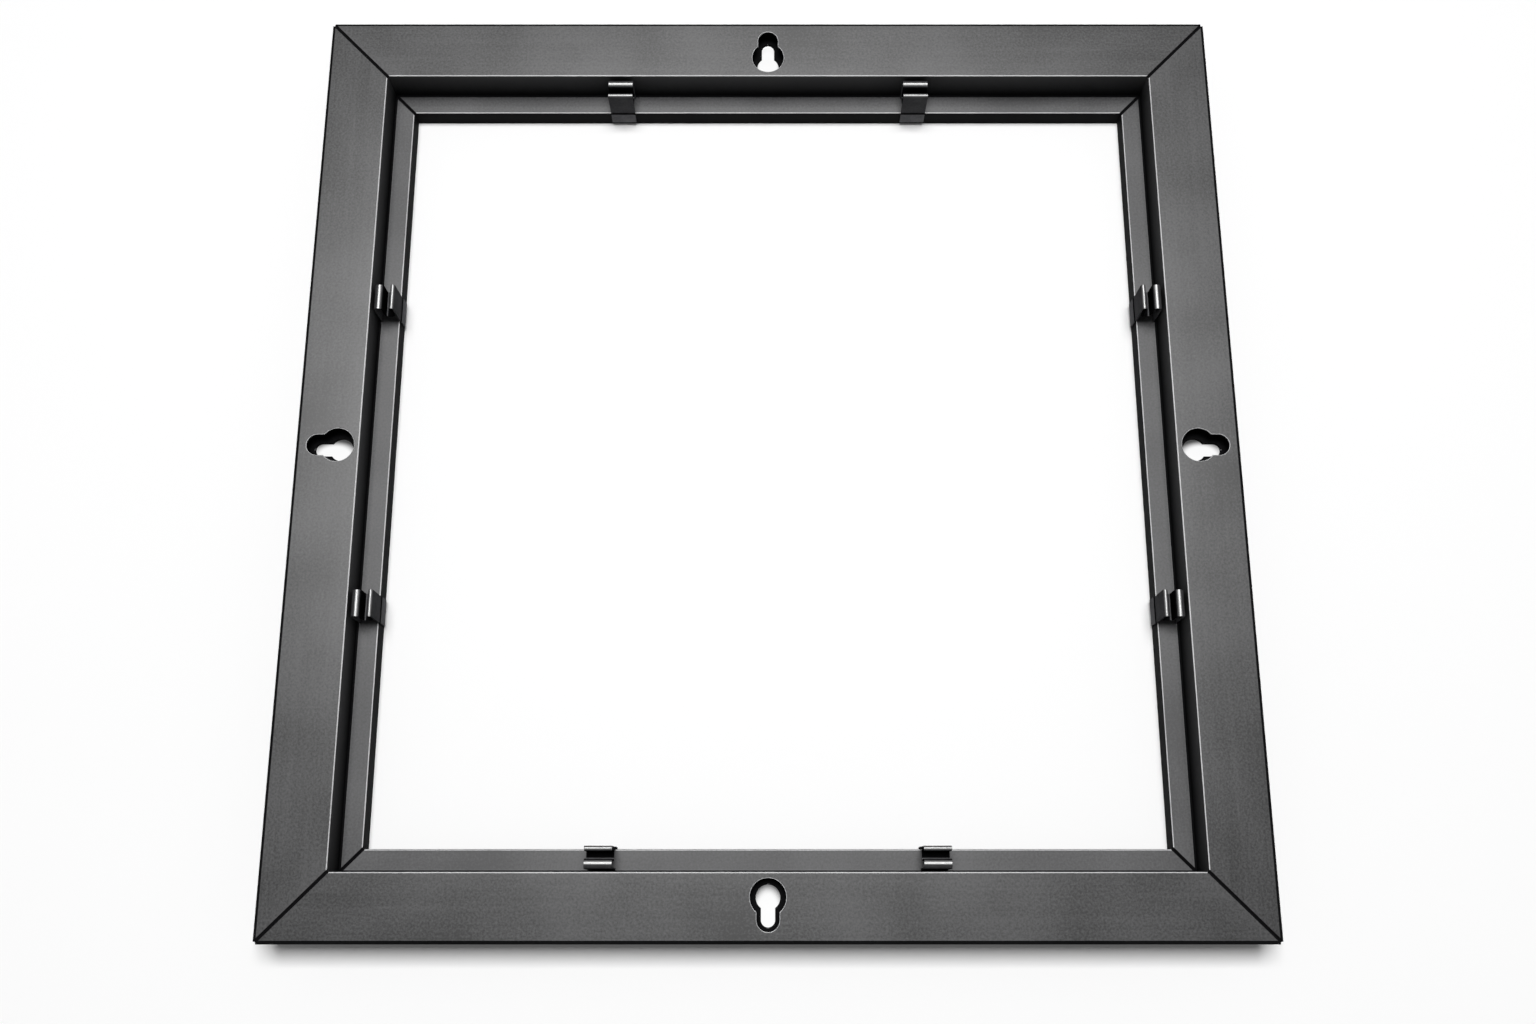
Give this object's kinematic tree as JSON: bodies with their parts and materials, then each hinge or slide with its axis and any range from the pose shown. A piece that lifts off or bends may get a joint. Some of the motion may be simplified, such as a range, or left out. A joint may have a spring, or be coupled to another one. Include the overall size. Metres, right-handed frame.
{
  "type": "vinyl record frame",
  "caption": "Square black metal record frame with mitred rails, stepped hanging keyholes, a rebated sight opening and sprung clips hooked through its lip.",
  "frame": {"origin": "centre of the square in the plane of the front edges that the frame lies on", "axes": "+Z out of the hanging side, +Y toward the top rail, +X to the right with the hanging side in view"},
  "size_m": [0.37, 0.37, 0.028],
  "materials": {
    "rail_coating": "satin black coating on extruded aluminium",
    "corner_key": "plain cast metal",
    "screw_steel": "zinc plated",
    "clip_steel": "gloss black spring steel"
  },
  "bodies": {
    "frame": {"rail_top": "rail_coating", "rail_left": "rail_coating", "rail_bottom": "rail_coating", "rail_right": "rail_coating", "corner_key_bottom_left": "corner_key", "corner_key_bottom_right": "corner_key", "corner_key_top_right": "corner_key", "corner_key_top_left": "corner_key", "key_screw_bottom_left_bottom": "screw_steel", "key_screw_bottom_left_left": "screw_steel", "key_screw_bottom_right_right": "screw_steel", "key_screw_bottom_right_bottom": "screw_steel", "key_screw_top_right_top": "screw_steel", "key_screw_top_right_right": "screw_steel", "key_screw_top_left_left": "screw_steel", "key_screw_top_left_top": "screw_steel"},
    "clip_top_left": {"spring_clip_top_left": "clip_steel"},
    "clip_top_right": {"spring_clip_top_right": "clip_steel"},
    "clip_left_lower": {"spring_clip_left_lower": "clip_steel"},
    "clip_left_upper": {"spring_clip_left_upper": "clip_steel"},
    "clip_bottom_right": {"spring_clip_bottom_right": "clip_steel"},
    "clip_bottom_left": {"spring_clip_bottom_left": "clip_steel"},
    "clip_right_upper": {"spring_clip_right_upper": "clip_steel"},
    "clip_right_lower": {"spring_clip_right_lower": "clip_steel"}
  },
  "joints": [
    {"name": "clip_top_left_flex", "type": "hinge", "parent": "frame", "child": "clip_top_left", "pos_m": [-0.062, 0.1523, 0.0028], "axis": [1, 0, 0], "range_deg": [0, 8], "stiffness_Nm_per_rad": 0.05},
    {"name": "clip_top_right_flex", "type": "hinge", "parent": "frame", "child": "clip_top_right", "pos_m": [0.062, 0.1523, 0.0028], "axis": [1, 0, 0], "range_deg": [0, 8], "stiffness_Nm_per_rad": 0.05},
    {"name": "clip_left_lower_flex", "type": "hinge", "parent": "frame", "child": "clip_left_lower", "pos_m": [-0.1523, -0.062, 0.0028], "axis": [0, 1, 0], "range_deg": [0, 8], "stiffness_Nm_per_rad": 0.05},
    {"name": "clip_left_upper_flex", "type": "hinge", "parent": "frame", "child": "clip_left_upper", "pos_m": [-0.1523, 0.062, 0.0028], "axis": [0, 1, 0], "range_deg": [0, 8], "stiffness_Nm_per_rad": 0.05},
    {"name": "clip_bottom_right_flex", "type": "hinge", "parent": "frame", "child": "clip_bottom_right", "pos_m": [0.062, -0.1523, 0.0028], "axis": [-1, 0, 0], "range_deg": [0, 8], "stiffness_Nm_per_rad": 0.05},
    {"name": "clip_bottom_left_flex", "type": "hinge", "parent": "frame", "child": "clip_bottom_left", "pos_m": [-0.062, -0.1523, 0.0028], "axis": [-1, 0, 0], "range_deg": [0, 8], "stiffness_Nm_per_rad": 0.05},
    {"name": "clip_right_upper_flex", "type": "hinge", "parent": "frame", "child": "clip_right_upper", "pos_m": [0.1523, 0.062, 0.0028], "axis": [0, -1, 0], "range_deg": [0, 8], "stiffness_Nm_per_rad": 0.05},
    {"name": "clip_right_lower_flex", "type": "hinge", "parent": "frame", "child": "clip_right_lower", "pos_m": [0.1523, -0.062, 0.0028], "axis": [0, -1, 0], "range_deg": [0, 8], "stiffness_Nm_per_rad": 0.05}
  ]
}
